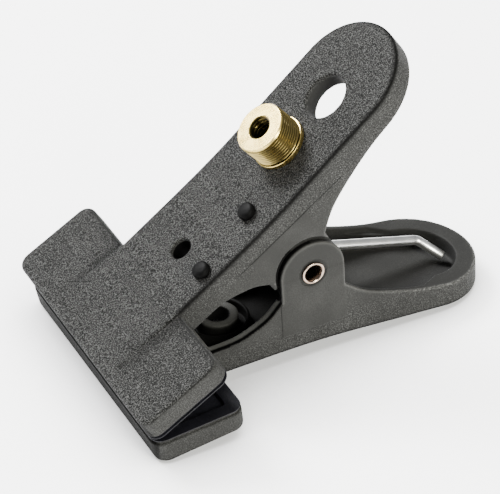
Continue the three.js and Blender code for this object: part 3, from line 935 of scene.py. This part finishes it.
def build_stud():
    """Threaded spigot with a collar and a tapped bore, on a threaded shank that holds it in the lever."""
    r, top, root = STUD["radius"], STUD["height"], STUD["radius"] - STUD["depth"]
    wide, step = STUD_COLLAR["radius"], STUD_COLLAR["height"]
    shank, bore = SHANK["radius"], BORE["radius"]
    stack = [round_ring(0.01, -SHANK["length"]), round_ring(shank - 0.7, -SHANK["length"])]
    heights = np.arange(-SHANK["length"] + 0.5, -0.4, SHANK["pitch"] / 9)
    stack += thread_rings(heights, shank, SHANK["pitch"], SHANK["depth"], 0.6)
    collar = [(shank, 0.3), (wide - 0.2, 0.3), (wide - 0.05, 0.36), (wide, 0.5), (wide, step - 0.15),
              (wide - 0.12, step), (root, step + 0.08), (root, step + 0.4)]
    stack += [round_ring(*place) for place in collar]
    heights = np.arange(step + 0.45, top - 0.6, STUD["pitch"] / 9)
    stack += thread_rings(heights, r, STUD["pitch"], STUD["depth"], 0.25)
    end_face = [(r - 0.1, top - 0.45), (r - 0.2, top - 0.2), (r - 0.32, top - 0.05), (r - 0.44, top),
                (bore + 0.75, top), (bore + 0.6, top - 0.06)]
    stack += [round_ring(*place) for place in end_face]
    heights = np.arange(top - 0.55, 2.2, -BORE["pitch"] / 9)
    stack += thread_rings(heights, bore, BORE["pitch"], -BORE["depth"], -0.4)
    stack += [round_ring(bore, 1.6), round_ring(0.01, 0.9)]
    obj = new_object("stud", *loft(stack), face_matrix(STUD_X, 0), 20)
    clean(obj)
    return obj


def build_nut(top):
    """A hexagon nut with chamfered corners and a threaded hole."""
    half, thick, hole = NUT["half"], NUT["thick"], SHANK["radius"] + GAP
    hexagon = half / np.cos((ANGLES + math.pi / 6) % (math.pi / 3) - math.pi / 6)
    from_end = np.array([0.0, 0.2, 0.45, 0.75, 1.1])
    chamfer = [np.minimum(hexagon, half - 0.25 + 1.3 * t) for t in from_end]
    stack = [round_ring(radii, top - thick + t) for radii, t in zip(chamfer, from_end)]
    stack += [round_ring(radii, top - t) for radii, t in zip(chamfer[::-1], from_end[::-1])]
    stack.append(round_ring(hole + 0.3, top))
    heights = np.arange(top - 0.3, top - thick + 0.3, -SHANK["pitch"] / 8)
    stack += thread_rings(heights, hole, SHANK["pitch"], -NUT["depth"], -0.3)
    stack += [round_ring(hole + 0.3, top - thick), stack[0]]
    obj = new_object("nut", *loft(stack, caps=False), face_matrix(STUD_X, 0), 35)
    clean(obj)
    return obj


WASHER_TOP = -FLOOR - GAP
WASHER_LOW = WASHER_TOP - 1.2
WASHER = [(4.3, WASHER_LOW), (8.5, WASHER_LOW), (8.5, WASHER_TOP), (4.3, WASHER_TOP)]
finish_piece(build_stud(), "upper", ["threaded_stud"], "brass")
washer = turned("washer", WASHER, face_matrix(STUD_X, 0), 64, 0.25, sharp_angle=40)
finish_piece(washer, "upper", ["stud_washer"], "zinc_steel")
finish_piece(build_nut(WASHER_LOW - GAP / 2), "upper", ["stud_nut"], "zinc_steel")

# Stem through the lever's wall, then a round head with a low dome.
PEG = [(0, -FLOOR), (1.7, -FLOOR), (1.8, -FLOOR + 0.2), (1.8, 0.3), (2.5, 0.3), (2.66, 0.4), (2.7, 0.6),
       (2.68, 1.5), (2.6, 1.85), (2.4, 2.12), (2.0, 2.3), (1.4, 2.42), (0.7, 2.48), (0, 2.5)]
for peg_name, (peg_x, peg_y) in PEG_PLACES.items():
    plug = turned(f"{peg_name}_plug", PEG, face_matrix(peg_x, peg_y), 40, closed=False)
    finish_piece(plug, "upper", [peg_name], "peg_plastic")


# ------------------------------------------------------------------ stage, light and camera

CAMERA_AT = (-0.2905, -0.5547, 0.4815)
CAMERA_TURN = (-26.892, 35.941, -0.590)   # azimuth, elevation, roll
CAMERA_LENS = 188.6


def make_camera():
    azimuth, elevation, roll = (math.radians(a) for a in CAMERA_TURN)
    level = math.cos(elevation)
    back = Vector((math.sin(azimuth) * level, -math.cos(azimuth) * level, math.sin(elevation)))
    flat_right = Vector((0, 0, 1)).cross(back).normalized()
    flat_up = back.cross(flat_right)
    right = math.cos(roll) * flat_right + math.sin(roll) * flat_up
    up = back.cross(right)
    data = bpy.data.cameras.new("camera")
    data.lens = CAMERA_LENS
    data.sensor_width = 36
    camera = bpy.data.objects.new("camera", data)
    turn = Matrix((right, up, back)).transposed().to_4x4()
    camera.matrix_world = Matrix.Translation(CAMERA_AT) @ turn
    bpy.context.scene.collection.objects.link(camera)
    bpy.context.scene.camera = camera


def area_light(name, place, size, power, colour, target=(0, 0, 0.04)):
    data = bpy.data.lights.new(name, "AREA")
    data.shape = "RECTANGLE"
    data.size, data.size_y = size
    data.energy = power
    data.color = colour
    light = bpy.data.objects.new(name, data)
    light.location = place
    light.rotation_mode = "QUATERNION"
    light.rotation_quaternion = (Vector(target) - light.location).to_track_quat("-Z", "Y")
    bpy.context.scene.collection.objects.link(light)


def make_floor():
    """A white sweep that glows on its own, evenly bright, with a painted contact shadow where the object
    stands close to it.
    """
    mesh = bpy.data.meshes.new("floor")
    half, level = 3, -0.0003
    corners = [(x * half, y * half, level) for x, y in ((-1, -1), (1, -1), (1, 1), (-1, 1))]
    mesh.from_pydata(corners, [], [(0, 1, 2, 3)])
    floor = bpy.data.objects.new("floor", mesh)
    bpy.context.scene.collection.objects.link(floor)
    material = bpy.data.materials.new("floor")
    material.use_nodes = True
    tree = material.node_tree
    shader = tree.nodes["Principled BSDF"]
    shader.inputs["Base Color"].default_value = (0.4, 0.4, 0.4, 1)
    shader.inputs["Roughness"].default_value = 0.9
    shader.inputs["Emission Color"].default_value = (1, 1, 1, 1)
    # Painted contact shadow: ambient occlusion dims the floor's glow near the object.
    openness = node(tree, "ShaderNodeAmbientOcclusion", Distance=0.05)
    glow = spread(tree, openness.outputs["AO"], 0.5, 4.4, 0.4, 0.97)
    tree.links.new(glow, shader.inputs["Emission Strength"])
    mesh.materials.append(material)


def make_world():
    """Dim surroundings, a little brighter overhead."""
    world = bpy.data.worlds.new("studio")
    bpy.context.scene.world = world
    world.use_nodes = True
    tree = world.node_tree
    direction = tree.nodes.new("ShaderNodeTexCoord").outputs["Generated"]
    split = node(tree, "ShaderNodeSeparateXYZ")
    tree.links.new(direction, split.inputs[0])
    level = spread(tree, split.outputs[2], 0.10, 0.55, 0.0, 1.0)
    tree.links.new(level, tree.nodes["Background"].inputs["Strength"])
    tree.nodes["Background"].inputs["Color"].default_value = (0.97, 0.98, 1, 1)


make_camera()
make_floor()
make_world()
area_light("key", (-0.3, 0.62, 0.74), (0.36, 0.36), 46, (0.99, 0.995, 1))
area_light("fill", (0.12, -0.85, 0.5), (0.3, 0.3), 16.5, (1, 0.99, 0.87))
